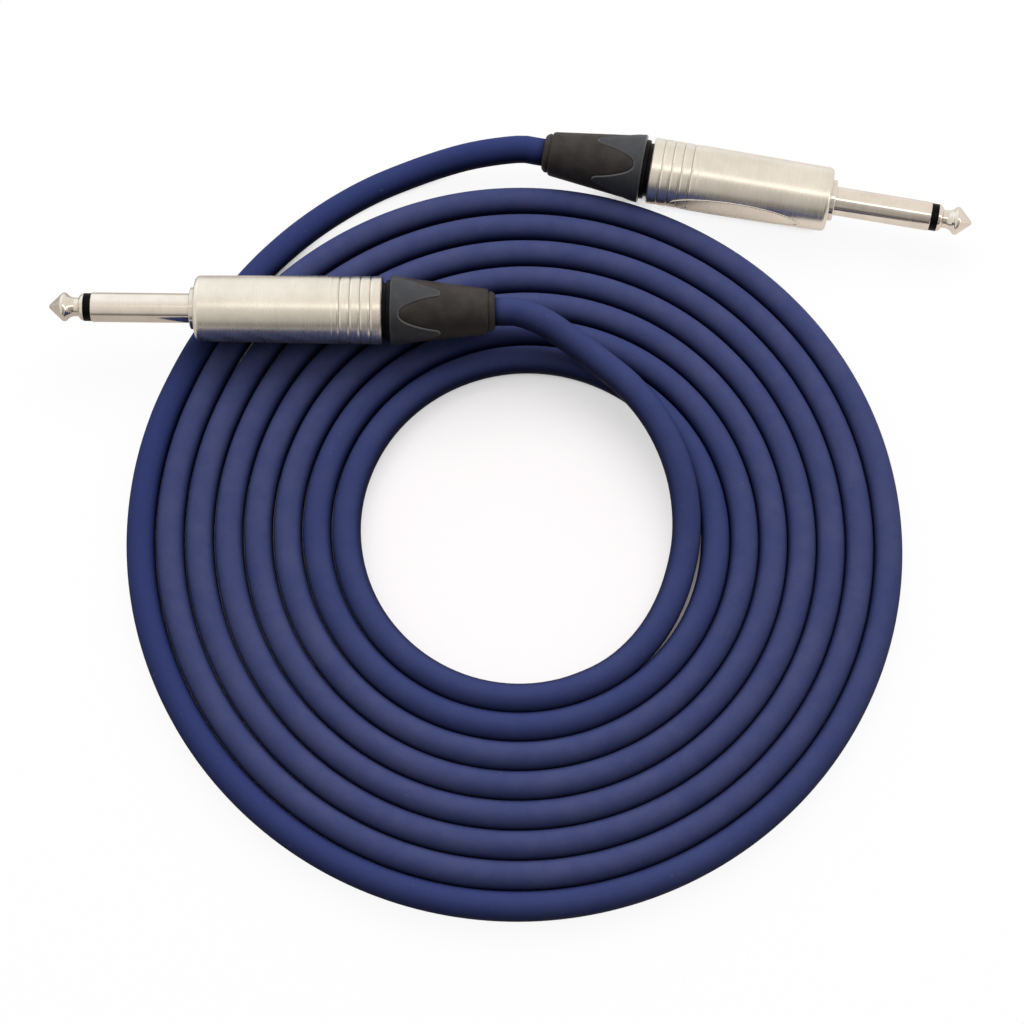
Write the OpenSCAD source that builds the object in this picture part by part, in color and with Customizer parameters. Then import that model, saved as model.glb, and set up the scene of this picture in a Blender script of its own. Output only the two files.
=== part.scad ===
// Instrument cable, 3 m class, laid in a flat round coil, with a straight
// two-pole 6.35 mm phone plug on each end.
//
// Millimetres, +Z up, standing on z = 0.  The origin lies on the table, midway
// between the two plugs.  Both plugs are the same model.  Each is drawn along
// its own axis: x = 0 is the front face of the collar, +x points to the tip,
// -x to the cable, and it is then set in its place on the table or the coil.

/* [Cable] */
// Outer diameter of the cable's jacket
cord_d = 6; // [5:0.1:6.4]
// Free space left between neighbouring turns of the coil
turn_gap = 0.16; // [0.1:0.02:0.6]
// Radius of the coil's centreline where the spiral would start, at 0 degrees
coil_r = 83.8; // [80:0.1:90]
// Depth of the coil over its width
coil_oval = 1.015; // [1:0.005:1.05]
// Angle at which the cable joins the coil from outside
coil_from = 165; // [160:1:170]
// Angle, turns included, at which the cable leaves the coil on the inside
coil_to = 2805; // [2790:15:2820]
// Share of the diameter that is cut flat where the coil lies on the table
flat_share = 0.1; // [0.05:0.05:0.15]

/* [Plug finger] */
// Shoulder to the very tip
finger_len = 30.5; // [30:0.1:31]
// Diameter of the sleeve contact
sleeve_d = 6.35; // [6.3:0.01:6.4]
// Bore of the sleeve contact
sleeve_bore = 4.2; // [4:0.1:4.4]
// Length of the tip contact's head
tip_len = 7.6; // [7.2:0.1:8]
// Largest diameter of the tip contact's head
tip_d = 6.2; // [6:0.05:6.3]
// Radius of the very tip
tip_point = 0.7; // [0.5:0.05:0.9]
// Angle between the head's cone and the axis
tip_cone = 43; // [40:1:46]
// Distance from the very tip to the head's widest place
tip_wide_at = 3.3; // [3.1:0.05:3.5]
// Radius of the head's rounded edge there
tip_round = 0.8; // [0.6:0.05:1]
// Diameter of the tip contact's neck
neck_d = 4; // [3.8:0.1:4.2]
// Radius of the hollow from the head down to the neck
neck_round = 2; // [1:0.1:2.4]
// Diameter of the foot that holds the ring
foot_d = 5.9; // [5.6:0.1:6]
// Radius of the foot's rounded front
foot_round = 1.2; // [0.8:0.1:1.4]
// Diameter of the rod that carries the tip
rod_d = 2; // [1.8:0.1:2]
// Diameter of the black insulating ring behind the tip
ring_d = 6; // [5.8:0.05:6.04]
// Width of that ring
ring_len = 1.6; // [1.4:0.1:2]
// Diameter of the collar at the foot of the sleeve
collar_d = 9; // [8.6:0.1:9.6]
// Length of the collar that stands out of the shell
collar_len = 1.1; // [0.8:0.1:1.5]
// Chamfer at the edges of sleeve and collar
sleeve_edge = 0.15; // [0.1:0.05:0.3]
// Thickness of the flange that seats the sleeve inside the shell
flange_len = 1.4; // [1:0.1:2]

/* [Shell] */
// Outer diameter of the metal shell at its rear
shell_d = 14.8; // [14.5:0.1:15]
// How much the shell's radius falls off towards its front
shell_draft = 0.35; // [0.1:0.05:0.4]
// Length of the metal shell
shell_len = 40.2; // [39.8:0.1:42]
// Wall of the shell at its rear
shell_wall = 1.35; // [1.25:0.05:1.45]
// Thickness of the shell's front wall
shell_front = 2.5; // [2:0.1:3]
// Radius of the shell's front edge
shell_round = 1.05; // [0.6:0.05:1.2]
// Chamfer at the shell's rear edge
shell_edge = 0.3; // [0.2:0.05:0.4]
// Number of grooves round the shell's rear
groove_count = 4; // [2:1:5]
// Distance from the shell's rear edge to the first groove
groove_from = 2.45; // [2:0.05:2.6]
// Distance from one groove to the next
groove_pitch = 2.2; // [2:0.05:2.4]
// Width of a groove
groove_w = 0.3; // [0.2:0.05:0.6]
// Depth of a groove
groove_deep = 0.2; // [0.1:0.05:0.3]
// How far the bands between the grooves lie below the shell's surface
band_step = 0.08; // [0.05:0.01:0.15]
// Distance from the last groove to the end of the bands
band_end = 1.6; // [1.2:0.1:2.2]
// Width of the bevel along each band's edge
band_edge = 0.3; // [0.2:0.05:0.5]
// Depth of that bevel
band_drop = 0.05; // [0.03:0.01:0.08]
// Length of the bare scooped flat on the shell's side
flat_len = 28.7; // [20:0.1:30]
// Depth of that flat at its middle
flat_deep = 0.68; // [0.3:0.02:0.8]
// Distance from the shell's front to the flat
flat_at = 6.1; // [5:0.1:6.5]

/* [Insert and clamp] */
// Length of the insert's solid front disc
disc_len = 4; // [3:0.1:5]
// Length of the two rails that carry the clamp
rail_len = 17.5; // [17:0.1:18]
// Wall of those rails
rail_wall = 1; // [0.8:0.1:1.4]
// Angle that each rail spans
rail_angle = 100; // [80:5:120]
// How far the rod's insulator runs into the insert's disc
seat_len = 1; // [0.6:0.1:1.5]
// Width of a solder tag
tag_w = 3; // [2.4:0.1:3.2]
// Thickness of a solder tag
tag_t = 0.6; // [0.4:0.1:0.8]
// Diameter of the tip tag's eye, riveted on the rod
tag_eye_d = 4.8; // [4:0.1:5.2]
// Length of the tip's solder tag
tip_tag_len = 7.4; // [6:0.1:8]
// Length of the ground tag behind the sleeve's flange
ground_tag_len = 13; // [11:0.1:14]
// Length of wire soldered to a tag
solder_len = 3; // [2:0.1:4.5]
// Height of the ground tag above the axis
ground_tag_rise = 3.6; // [3.2:0.1:3.8]
// Diameter of the hole in the ground tag
tag_hole_d = 1.2; // [0.8:0.1:1.6]
// Distance from the ground tag's end to that hole
tag_hole_at = 1.8; // [1.2:0.1:2.4]
// Length of the clamp
clamp_len = 13.9; // [13:0.1:14]
// Length of the clamp's front flange
clamp_flange = 1.8; // [1:0.1:2.5]
// Length of the clamp's rear taper
clamp_taper = 4; // [3:0.1:5]
// How much the taper takes off the clamp's radius
clamp_draft = 0.75; // [0.4:0.05:0.9]
// Width of the slots between the clamp's fingers
clamp_slot = 1; // [0.6:0.1:1.4]
// Length of those slots
clamp_slot_len = 9; // [7:0.1:9.5]

/* [Gland] */
// Lead of the gland's screw thread: its travel in one turn
thread_lead = 1; // [0.8:0.05:1.25]
// Turns that the gland takes from tight to free
thread_turns = 4; // [3:1:5]
// Length of the threaded spigot inside the shell
spigot_len = 6.9; // [6:0.1:7.2]
// Wall of that spigot, round the clamp
spigot_wall = 0.75; // [0.6:0.05:0.9]
// Chamfer where the screw thread starts
spigot_edge = 0.3; // [0.2:0.05:0.4]
// How far the black shoulder ring lies below the shell's rear edge
shoulder_drop = 0.85; // [0.6:0.05:1.1]
// Width of that ring
shoulder_len = 0.95; // [0.6:0.05:1.4]
// Width of the spigot that shows between shell and shoulder
relief_len = 0.7; // [0.4:0.1:1]
// Outer diameter of the bush's neck, inside the grip cover
neck_tube_d = 9.8; // [9.4:0.1:10]
// How far that neck runs past the grip cover's lobes
neck_past = 0.7; // [0.6:0.1:2]
// How far the grip cover's front stands above the shell's rear edge
grip_proud = 0.2; // [0.1:0.05:0.4]
// Chamfer at the front edges of grip cover and shoulder
grip_edge = 0.2; // [0.1:0.05:0.3]
// Diameter of the boot at its rear edge
boot_rear_d = 10.1; // [9.6:0.1:10.6]
// Length of grip cover and boot together, without the lip
boot_len = 20.9; // [20:0.1:22]
// Distance from the grip cover's front to the bottom of each wave
wave_near = 2; // [1.6:0.1:3]
// Distance from the grip cover's front to the tip of each lobe
wave_far = 10.9; // [9.5:0.1:12]
// How far the rubber lies below the grip cover's surface
boot_inset = 0.18; // [0.05:0.01:0.25]
// Diameter of the lip where the cable leaves the boot
lip_d = 8.2; // [7.8:0.1:8.6]
// Length of that lip
lip_len = 1.5; // [1:0.1:2]
// Chamfer at the boot's rear edge
boot_chamfer = 0.6; // [0.3:0.1:0.8]

/* [Wires] */
// Diameter of the insulated core
core_d = 2.6; // [2:0.1:2.8]
// Length of the core that is bared of jacket and screen
core_bare = 7; // [6:0.1:8]
// Diameter of the core's conductor
wire_d = 0.9; // [0.6:0.1:1]
// Length of conductor that lies on the tip's tag
wire_on_tag = 4.5; // [3:0.1:5]
// Length of conductor that is modelled inside the core's insulation
wire_hold = 2; // [1:0.1:3]
// Diameter of the twisted screen
drain_d = 1; // [0.8:0.1:1.2]

/* [Clearances] */
// Gap between faces of pieces that are fitted together
fit_gap = 0.05; // [0.02:0.01:0.08]
// Gap round a piece that slides or turns
run_gap = 0.15; // [0.1:0.01:0.2]
// Gap between the seats of pieces that move apart
seat_gap = 0.1; // [0.05:0.05:0.2]
// Gap round the cable in clamp and boot
cord_gap = 0.2; // [0.1:0.05:0.3]

/* [Places] */
// Coil's centre, left and right of the origin
coil_x = 1.35; // [0:0.05:3]
// Coil's centre, in front of the origin
coil_y = -66; // [-70:0.1:-60]
// Left plug's shoulder, from the origin
left_x = -69.9; // [-72:0.1:-66]
// Left plug's shoulder, in front of the origin
left_y = -19.1; // [-20:0.1:-18]
// Direction of the left plug's tip
left_turn = 179.3; // [178:0.1:181]
// Right plug's shoulder, from the origin
right_x = 70.6; // [68:0.1:73]
// Right plug's shoulder, behind the origin
right_y = 9.9; // [9.5:0.1:12]
// Direction of the right plug's tip
right_turn = -10.6; // [-12:0.1:-9]
// Side of the left shell that has the flat, from upright towards the front
left_flat_roll = 160; // [0:1:360]
// Side of the right shell that has the flat
right_flat_roll = 90; // [0:1:360]
// Turn of the left grip cover's waves
left_wave_roll = -31; // [-45:1:45]
// Turn of the right grip cover's waves
right_wave_roll = 24; // [-45:1:45]

/* [Hidden] */

// smoothness of turned pieces, and how far a cutter runs past what it cuts
turned_fn = 96;
past = 1;

// stations along a plug's axis, from the shoulder back to the cable
sleeve_end = finger_len - tip_len - ring_len;
ring_end = finger_len - tip_len;
shell_x = -collar_len;
seat_x = shell_x - shell_front;
disc_x = seat_x - flange_len;
rail_x = disc_x - disc_len;
clamp_x = rail_x - rail_len - seat_gap;
shell_rear = shell_x - shell_len;
relief_x = shell_rear - seat_gap;
shoulder_x = relief_x - relief_len;
grip_x = shoulder_x - shoulder_len;
valley_x = grip_x - wave_near;
lobe_x = grip_x - wave_far;
neck_end = lobe_x - neck_past;
boot_x = grip_x - boot_len;
lip_x = boot_x - lip_len;
spigot_x = relief_x + spigot_len;
clamp_rear = clamp_x - clamp_len;
taper_x = clamp_rear + clamp_taper;
jacket_x = clamp_x - clamp_flange / 2;

// radii that mate
shell_r = shell_d / 2;
front_r = shell_r - shell_draft;
bore_r = shell_r - shell_wall;
insert_r = bore_r - run_gap;
spigot_r = bore_r - run_gap;
clamp_r = spigot_r - spigot_wall - run_gap;
clamp_rear_r = clamp_r - clamp_draft;
shoulder_r = shell_r - shoulder_drop;
grip_r = shell_r + grip_proud;
tube_r = neck_tube_d / 2;
cord_r = cord_d / 2;
cord_hole_r = cord_r + cord_gap;
rod_hole_r = rod_d / 2 + fit_gap;
travel = thread_lead * thread_turns;

// the coil, and the points that the two leads follow, from the coil's centre
loop_rings = 24;
turn_pitch = cord_d + turn_gap;
drift = [0.07, -0.08];
mean_turn = 4;
coil_flat = cord_d * flat_share;
coil_at = [coil_x, coil_y, 0];
coil_z = cord_r - coil_flat;
coil_step = 360 / loop_rings;
least_gap = 0.4;

// a plug lies with its widest ring on the table, or on top of the coil
left_at = [left_x, left_y, cord_d + grip_r];
right_at = [right_x, right_y, grip_r];

left_route = [
  [4.3, 44.2, 12.8], [9.6, 41.2, 11.0], [16.6, 36.3, 9.3], [22.8, 30.8, 9.0], [27.6, 24.8, 8.5],
  [31.2, 18.2, 7.6], [33.6, 11.2, 6.4], [34.7, 4.2, 4.9], [34.6, -2.6, 3.6], [33.3, -9.2, 3.0],
  [31.2, -15.4, 3.0], [28.2, -21.2, 3.0], [24.4, -26.2, 3.0], [19.8, -30.4, 3.0]
];
right_route = [
  [-5.0, 88.9, 7.2], [-12.0, 88.3, 6.0], [-19.0, 87.0, 4.3], [-26.0, 84.8, 3.2], [-33.0, 81.6, 3.0],
  [-39.8, 77.6, 3.0], [-46.2, 72.9, 3.0], [-52.2, 67.7, 3.0], [-57.8, 61.8, 3.0], [-62.9, 55.4, 3.0],
  [-67.4, 48.5, 3.0], [-71.4, 41.2, 3.0], [-74.6, 33.7, 3.0]
];

// ---------------------------------------------------------------- shapes

// a piece turned about the plug's axis, from its outline of [radius, station]
module turned(outline) {
  rotate([0, 90, 0]) rotate_extrude($fn = turned_fn) polygon(outline);
}

// a plain tube between two stations; no bore where the inner radius is 0
module tube(from, to, outer, inner) {
  turned([[inner, from], [outer, from], [outer, to], [inner, to]]);
}

// points of an arc in an outline
function arc(centre, radius, from, to, steps) = [
  for (i = [0:steps])
    let (a = from + (to - from) * i / steps)
    centre + radius * [cos(a), sin(a)]
];

function total(v, i = 0) = i >= len(v) ? 0 : v[i] + total(v, i + 1);
function unit(v) = v / norm(v);

// ------------------------------------------------------------- the cable

// centreline of the coil at an angle that counts on through the turns
function coil_point(a) =
  let (u = a / 360 - mean_turn, r = spiral_r(a))
  [drift.x * u + r * cos(a), drift.y * u + coil_oval * r * sin(a), coil_z];

function coil_way(a) = unit(coil_point(a + 0.5) - coil_point(a - 0.5));

// six-sided section with its flat sides towards the next turns, cut flat below
hex_x = cord_r * cos(30);
hex_y = cord_r * sin(30);
foot_x = coil_flat * tan(60);
coil_section = [
  [0, cord_r], [hex_x, hex_y], [hex_x, -hex_y], [foot_x, -coil_z], [-foot_x, -coil_z],
  [-hex_x, -hex_y], [-hex_x, hex_y]
];

// eight-sided section that lies on a flat side
lead_section = [for (i = [0:7]) cord_r * [sin(22.5 + 45 * i), cos(22.5 + 45 * i)]];

// one ring of a tube: the section set square to the way the cable runs
function ring(at, way, section) =
  let (side = unit(cross(way, [0, 0, 1])), rise = cross(side, way))
  [for (s = section) at + s.x * side + s.y * rise];

// a closed tube through rings of equal length
module skin(rings) {
  n = len(rings[0]);
  last = len(rings) - 1;
  points = [for (r = rings, p = r) p];
  walls = [
    for (i = [0:last - 1], j = [0:n - 1])
      let (a = i * n + j, b = i * n + (j + 1) % n)
      each [[a, b, b + n], [a, b + n, a + n]]
  ];
  ends = [
    for (j = [1:n - 2])
      each [[0, j + 1, j], [last * n, last * n + j, last * n + j + 1]]
  ];
  polyhedron(points = points, faces = concat(walls, ends), convexity = 10);
}

coil_angles = [for (a = [coil_from:coil_step:coil_to]) a];
coil_stop = coil_angles[len(coil_angles) - 1];

// each end runs on straight for one diameter, to a point that lies on the spiral again
function spiral_r(a) = coil_r - turn_pitch * a / 360;
function end_span(a) = cord_d / spiral_r(a) * 180 / PI;
coil_in = coil_point(coil_from - end_span(coil_from));
coil_out = coil_point(coil_stop + end_span(coil_stop));
way_in = unit(coil_point(coil_from) - coil_in);
way_out = unit(coil_out - coil_point(coil_stop));
coil_rings = [
  ring(coil_in, way_in, coil_section),
  for (a = coil_angles) ring(coil_point(a), coil_way(a), coil_section),
  ring(coil_out, way_out, coil_section)
];

// least gap between neighbouring turns, measured on the rings' points
function gap_at(i, j) = min([for (p = coil_rings[i], q = coil_rings[j]) norm(p - q)]);
coil_gap = min([
  for (i = [1:len(coil_angles) - loop_rings - 1], j = [-1:1])
    gap_at(i, i + loop_rings + j)
]);
echo(coil_least_gap_mm = coil_gap, wanted_over_mm = least_gap);

function lead_way(route, i) =
  unit(route[min(i + 1, len(route) - 1)] - route[max(i - 1, 0)]);

// where each plug's axis runs, and where its cable leaves the lip
function axis_of(turn) = [cos(turn), sin(turn), 0];
function lip_of(at, turn) = at + lip_x * axis_of(turn) - coil_at;
straight_len = travel + 0.5;
function lifted(p) = [p.x, p.y, cord_r];

left_lip = lip_of(left_at, left_turn);
right_lip = lip_of(right_at, right_turn);
left_line = concat(
  [left_lip, left_lip - straight_len * axis_of(left_turn)],
  left_route,
  [lifted(coil_out)]
);
right_line = concat(
  [right_lip, right_lip - straight_len * axis_of(right_turn)],
  right_route,
  [lifted(coil_in)]
);

// a lead runs square to the lip at one end and to the coil at the other
module lead(line, start_way, end_way) {
  last = len(line) - 1;
  skin([
    for (i = [0:last])
      ring(line[i], i < 2 ? start_way : i == last ? end_way : lead_way(line, i), lead_section)
  ]);
}

function run(line) = total([for (i = [1:len(line) - 1]) norm(line[i] - line[i - 1])]);
cable_len = run(left_line) + run(right_line) + 2 * cord_d
  + run([for (a = [coil_from:1:coil_stop]) coil_point(a)]);
echo(cable_between_boots_mm = cable_len);

module cable_coil() color("midnightblue") translate(coil_at) skin(coil_rings);

module left_lead() color("midnightblue")
  translate(coil_at) lead(left_line, -axis_of(left_turn), -way_out);

module right_lead() color("midnightblue")
  translate(coil_at) lead(right_line, -axis_of(right_turn), way_in);

// --------------------------------------------------- the plug's contacts

// outline of the head: round point, cone, round edge, 45 degree back, neck and foot
tip_r = tip_d / 2;
neck_r = neck_d / 2;
foot_r = foot_d / 2;
back = 45;
back_r = tip_r - tip_round + tip_round * cos(back);
back_x = finger_len - tip_wide_at - tip_round * sin(back);
hollow_r = neck_r + neck_round - neck_round * cos(back);
hollow_x = back_x - (back_r - hollow_r) / tan(back) - neck_round * sin(back);
foot_angle = acos((neck_r - foot_r + foot_round) / foot_round);

module tip_contact() {
  rod_end = rail_x - tag_t - fit_gap;
  color("silver") turned(concat(
    arc([0, finger_len - tip_point], tip_point, 90, tip_cone, 5),
    arc([tip_r - tip_round, finger_len - tip_wide_at], tip_round, tip_cone, -back, 7),
    arc([neck_r + neck_round, hollow_x], neck_round, 180 - back, 180, 4),
    arc([foot_r - foot_round, ring_end], foot_round, foot_angle, 0, 5),
    [[rod_d / 2, ring_end], [rod_d / 2, rod_end], [0, rod_end]]
  ));
}

module tip_ring() color("black")
  tube(ring_end, sleeve_end, ring_d / 2, rod_hole_r);

module rod_sleeve() color("ivory")
  tube(sleeve_end, disc_x - seat_len, sleeve_bore / 2 - fit_gap, rod_hole_r);

module sleeve_contact() color("silver") {
  r = sleeve_d / 2;
  edge = sleeve_edge;
  collar_r = collar_d / 2;
  turned([
    [sleeve_bore / 2, sleeve_end], [r - edge, sleeve_end], [r, sleeve_end - edge], [r, 0],
    [collar_r - edge, 0], [collar_r, -edge], [collar_r, seat_x], [insert_r, seat_x],
    [insert_r, disc_x], [sleeve_bore / 2, disc_x]
  ]);
}

// ----------------------------------------------------------- the shell

// the shell narrows towards its front, and its bands lie a little deeper
function shell_at(x) = shell_r - shell_draft * (x - shell_rear) / shell_len;
function band_at(x) = shell_at(x) - band_step;
groove_x = [for (i = [0:groove_count - 1]) shell_rear + groove_from + groove_pitch * i];
bands_x = groove_x[groove_count - 1] + band_end;

// outline of one V groove and of the bevels on both sides of it
function groove(x) =
  let (half = groove_w / 2, r = band_at(x))
  [
    [r, x + half + band_edge], [r - band_drop, x + half], [r - groove_deep, x],
    [r - band_drop, x - half], [r, x - half - band_edge]
  ];

module shell(flat_roll) {
  outline = concat(
    [[collar_d / 2 + fit_gap, shell_x]],
    arc([front_r - shell_round, shell_x - shell_round], shell_round, 90, 0, 6),
    [[shell_at(bands_x), bands_x], [band_at(bands_x), bands_x - band_step]],
    [for (i = [groove_count - 1:-1:0]) each groove(groove_x[i])],
    [
      [band_at(shell_rear), shell_rear + shell_edge], [band_at(shell_rear) - shell_edge, shell_rear],
      [bore_r, shell_rear], [bore_r, seat_x], [collar_d / 2 + fit_gap, seat_x]
    ]
  );
  // a wide round cutter scoops the flat and leaves it pointed at both ends
  half = flat_len / 2;
  middle = shell_x - flat_at - half;
  draft = atan(shell_draft / shell_len);
  scoop_r = (half * half + flat_deep * flat_deep) / (2 * flat_deep);
  lift = shell_at(middle) - flat_deep + scoop_r * cos(draft);
  color("silver") difference() {
    turned(outline);
    rotate([flat_roll, 0, 0])
      translate([middle + scoop_r * sin(draft), 0, lift])
        rotate([90, 0, 0]) cylinder(r = scoop_r, h = shell_d, center = true, $fn = 360);
  }
}

// ------------------------------------------------- insert, tags and wires

module insert_body() color("dimgray") {
  stop = rail_x - rail_len;
  difference() {
    tube(disc_x, stop, insert_r, 0);
    tube(disc_x + past, disc_x - seat_len - fit_gap, sleeve_bore / 2, 0);
    tube(disc_x, rail_x - past, rod_hole_r, 0);
    tube(rail_x, stop - past, insert_r - rail_wall, 0);
    // the rails stand left and right; above and below the insert is open
    for (up = [0, 180])
      rotate([up, 0, 0])
        open_wedge(rail_x, stop - past, 180 - rail_angle);
    // slot for the ground tag
    translate([rail_x - past, -tag_w / 2 - fit_gap, ground_tag_rise - fit_gap])
      cube([disc_len + 2 * past, tag_w + 2 * fit_gap, tag_t + 2 * fit_gap]);
  }
}

// a wedge about the axis, open upwards, between two stations
module open_wedge(from, to, angle) {
  side = shell_d * sin(angle / 2);
  rise = shell_d * cos(angle / 2);
  rotate([0, 90, 0]) translate([0, 0, to]) linear_extrude(height = from - to)
    polygon([[0, 0], [-rise, -side], [-2 * shell_d, 0], [-rise, side]]);
}

// an eye riveted on the rod's end, with a flat strip under the core's wire
module tip_tag() color("gold") {
  strip_z = -wire_d / 2 - fit_gap;
  difference() {
    union() {
      tube(rail_x, rail_x - tag_t, tag_eye_d / 2, 0);
      translate([rail_x - tip_tag_len, -tag_w / 2, strip_z - tag_t])
        cube([tip_tag_len, tag_w, tag_t]);
    }
    tube(rail_x + past, rail_x - tag_t - past, rod_hole_r, 0);
  }
}

// a strip that seats on the sleeve's flange and runs back through the disc
module ground_tag() color("gold")
  translate([disc_x - ground_tag_len, -tag_w / 2, ground_tag_rise])
    difference() {
      cube([ground_tag_len, tag_w, tag_t]);
      // solder hole near the free end
      translate([tag_hole_at, tag_w / 2, -past])
        cylinder(d = tag_hole_d, h = tag_t + 2 * past, $fn = 32);
    }

core_start = jacket_x + core_bare;
wire_start = rail_x - tip_tag_len + wire_on_tag;

module core_insulation() color("white")
  difference() {
    tube(core_start, jacket_x, core_d / 2, 0);
    tube(core_start + past, core_start - wire_hold, wire_d / 2 + fit_gap, 0);
  }

module core_wire() color("orange")
  tube(wire_start, core_start - wire_hold + fit_gap, wire_d / 2, 0);

// the screen, twisted to a tail, climbs from the jacket to the ground tag
module screen_wire() color("orange") {
  r = drain_d / 2;
  low = core_d / 2 + r + fit_gap;
  high = ground_tag_rise - r - fit_gap;
  soldered_x = disc_x - ground_tag_len + solder_len;
  run_x = soldered_x - jacket_x;
  slope = atan2(high - low, run_x);
  difference() {
    translate([soldered_x, 0, high])
      rotate([0, -90 - slope, 0]) cylinder(r = r, h = run_x / cos(slope) + r, $fn = 32);
    translate([jacket_x - cord_d, -cord_d / 2, 0]) cube([cord_d, cord_d, cord_d]);
  }
}

// the cable's jacket inside the plug, from the clamp to the boot's lip
module cable_end() color("midnightblue")
  tube(jacket_x, lip_x, cord_r, 0);

// ------------------------------------------------------------ the clamp

module chuck() color("gainsboro")
  difference() {
    turned([
      [cord_hole_r, clamp_x], [insert_r, clamp_x], [insert_r, clamp_x - clamp_flange],
      [clamp_r, clamp_x - clamp_flange], [clamp_r, taper_x], [clamp_rear_r, clamp_rear],
      [cord_hole_r, clamp_rear]
    ]);
    for (a = [45, 135])
      rotate([a, 0, 0])
        translate([clamp_rear - past, -clamp_slot / 2, -shell_d])
          cube([clamp_slot_len + past, clamp_slot, 2 * shell_d]);
  }

// ------------------------------------------------------------ the gland

module threaded_bush() {
  clamp_bore = clamp_r + run_gap;
  color("black") turned([
    [clamp_bore, spigot_x], [spigot_r - spigot_edge, spigot_x], [spigot_r, spigot_x - spigot_edge],
    [spigot_r, shoulder_x], [shoulder_r - grip_edge, shoulder_x],
    [shoulder_r, shoulder_x - grip_edge], [shoulder_r, grip_x], [tube_r, grip_x],
    [tube_r, neck_end], [cord_hole_r, neck_end], [cord_hole_r, clamp_rear - seat_gap],
    [clamp_rear_r + run_gap, clamp_rear - seat_gap], [clamp_bore, taper_x]
  ]);
}

// the cone that grip cover and boot share, inset for the rubber
function boot_r(x, inset) =
  grip_r - inset + (x - grip_x) / (boot_x - grip_x) * (boot_rear_d / 2 - grip_r);

// height of the wave at a share u of its half width, from bottom to lobe tip
tip_from = 0.80;
tip_share = 0.79;
function wave(u) =
  u < tip_from
    ? tip_share * pow(u / tip_from, 2.3)
    : tip_share + (1 - tip_share) * sqrt(1 - pow((1 - u) / (1 - tip_from), 2));

// all that lies behind the wavy line: four cutters, each pushed in from one side
module behind_wave(roll) {
  reach = 2 * grip_r;
  // the lobes' tips are blunt by a hair, where two cutters would otherwise meet in one point
  half = boot_r(lobe_x, 0) * sin(45) - 0.02;
  shares = concat(
    [for (i = [0:7]) tip_from * i / 8],
    [for (i = [0:4]) tip_from + (1 - tip_from) * i / 4]
  );
  side = [for (u = shares) [valley_x - (valley_x - lobe_x) * wave(u), u * half]];
  line = concat(
    [[lip_x - past, -reach], [lobe_x, -reach]],
    [for (i = [len(side) - 1:-1:1]) [side[i].x, -side[i].y]],
    side,
    [[lobe_x, reach], [lip_x - past, reach]]
  );
  for (k = [0:3])
    rotate([roll + 90 * k, 0, 0]) linear_extrude(height = reach) polygon(line);
}

module grip_cover(roll) color("darkslategray") {
  edge = grip_edge;
  end_x = lobe_x - fit_gap;
  difference() {
    turned([
      [tube_r + fit_gap, grip_x], [grip_r - edge, grip_x], [boot_r(grip_x - edge, 0), grip_x - edge],
      [boot_r(end_x, 0), end_x], [tube_r + fit_gap, end_x]
    ]);
    behind_wave(roll);
  }
}

// the rubber is moulded on behind the wavy line and round the bush's neck
module boot(roll) color([0.19, 0.18, 0.17]) {
  edge = boot_x + boot_chamfer;
  inner_x = neck_end - fit_gap;
  difference() {
    turned([
      [tube_r + fit_gap, grip_x], [boot_r(grip_x, boot_inset), grip_x],
      [boot_r(edge, boot_inset), edge], [boot_r(edge, boot_inset) - boot_chamfer, boot_x],
      [lip_d / 2, boot_x], [lip_d / 2, lip_x], [cord_hole_r, lip_x], [cord_hole_r, inner_x],
      [tube_r + fit_gap, inner_x]
    ]);
    difference() {
      tube(grip_x + past, inner_x, 2 * grip_r, 0);
      behind_wave(roll);
    }
  }
}

// ----------------------------------------------------- the two plugs' places

module on_left() translate(left_at) rotate([0, 0, left_turn]) children();
module on_right() translate(right_at) rotate([0, 0, right_turn]) children();

module left_tip_contact() on_left() tip_contact();
module left_tip_ring() on_left() tip_ring();
module left_rod_sleeve() on_left() rod_sleeve();
module left_sleeve_contact() on_left() sleeve_contact();
module left_shell() on_left() shell(left_flat_roll);
module left_insert_body() on_left() insert_body();
module left_tip_tag() on_left() tip_tag();
module left_ground_tag() on_left() ground_tag();
module left_chuck() on_left() chuck();
module left_threaded_bush() on_left() threaded_bush();
module left_grip_cover() on_left() grip_cover(left_wave_roll);
module left_boot() on_left() boot(left_wave_roll);
module left_cable_end() on_left() cable_end();
module left_core_insulation() on_left() core_insulation();
module left_core_wire() on_left() core_wire();
module left_screen_wire() on_left() screen_wire();

module right_tip_contact() on_right() tip_contact();
module right_tip_ring() on_right() tip_ring();
module right_rod_sleeve() on_right() rod_sleeve();
module right_sleeve_contact() on_right() sleeve_contact();
module right_shell() on_right() shell(right_flat_roll);
module right_insert_body() on_right() insert_body();
module right_tip_tag() on_right() tip_tag();
module right_ground_tag() on_right() ground_tag();
module right_chuck() on_right() chuck();
module right_threaded_bush() on_right() threaded_bush();
module right_grip_cover() on_right() grip_cover(right_wave_roll);
module right_boot() on_right() boot(right_wave_roll);
module right_cable_end() on_right() cable_end();
module right_core_insulation() on_right() core_insulation();
module right_core_wire() on_right() core_wire();
module right_screen_wire() on_right() screen_wire();

cable_coil();
left_lead();
right_lead();
left_tip_contact();
left_tip_ring();
left_rod_sleeve();
left_sleeve_contact();
left_shell();
left_insert_body();
left_tip_tag();
left_ground_tag();
left_chuck();
left_threaded_bush();
left_grip_cover();
left_boot();
left_cable_end();
left_core_insulation();
left_core_wire();
left_screen_wire();
right_tip_contact();
right_tip_ring();
right_rod_sleeve();
right_sleeve_contact();
right_shell();
right_insert_body();
right_tip_tag();
right_ground_tag();
right_chuck();
right_threaded_bush();
right_grip_cover();
right_boot();
right_cable_end();
right_core_insulation();
right_core_wire();
right_screen_wire();
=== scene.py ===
import math

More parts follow.
